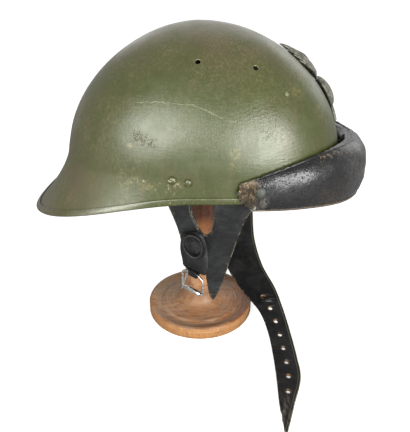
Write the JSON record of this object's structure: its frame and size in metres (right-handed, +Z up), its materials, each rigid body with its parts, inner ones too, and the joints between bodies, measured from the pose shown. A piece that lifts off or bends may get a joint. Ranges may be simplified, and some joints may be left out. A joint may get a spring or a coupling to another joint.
{
  "type": "steel helmet on a wooden stand",
  "caption": "Painted steel helmet with a neck guard, padded leather brow roll, badge and open leather chin strap with a roller buckle, resting on a turned wooden stand.",
  "frame": {"origin": "centre of the stand's flat round underside, which rests on the table", "axes": "+X towards the helmet's front (badge and brow pad), +Y to the wearer's left, +Z up"},
  "size_m": [0.3033, 0.2665, 0.2905],
  "materials": {
    "helmet_paint": "worn satin olive green",
    "badge_metal": "rubbed grey-green over pressed metal",
    "pad_leather": "semi-gloss, worn black",
    "strap_leather": "matte charcoal",
    "buckle_steel": "bright, plain",
    "stand_wood": "waxed, turned"
  },
  "bodies": {
    "helmet_and_stand": {"shell": "helmet_paint", "rim_band": "helmet_paint", "side_rivet_rear_right": "helmet_paint", "side_rivet_rear_left": "helmet_paint", "side_rivet_front_right": "helmet_paint", "side_rivet_front_left": "helmet_paint", "pad_rivet_right": "helmet_paint", "pad_rivet_left": "helmet_paint", "badge": "badge_metal", "brow_pad": "pad_leather", "chin_yoke_right": "strap_leather", "chin_strap_left": "strap_leather", "buckle_tab": "strap_leather", "keeper_loop": "strap_leather", "stand_base": "stand_wood", "stand_stem": "stand_wood", "stand_head": "stand_wood"},
    "frame": {"buckle_frame": "buckle_steel"},
    "roller": {"buckle_roller": "buckle_steel"},
    "prong": {"buckle_prong": "buckle_steel"}
  },
  "joints": [
    {"name": "buckle_swing", "type": "hinge", "parent": "helmet_and_stand", "child": "frame", "pos_m": [-0.0052, -0.0915, 0.1031], "axis": [-0.7431, 0.6691, 0], "range_deg": [-25, 30]},
    {"name": "prong_swing", "type": "hinge", "parent": "frame", "child": "prong", "pos_m": [-0.0052, -0.0915, 0.1031], "axis": [-0.7431, 0.6691, 0], "range_deg": [0, 75]},
    {"name": "roller_spin", "type": "hinge", "parent": "frame", "child": "roller", "pos_m": [-0.0052, -0.0915, 0.0856], "axis": [0.7431, -0.6691, 0], "continuous": true}
  ]
}
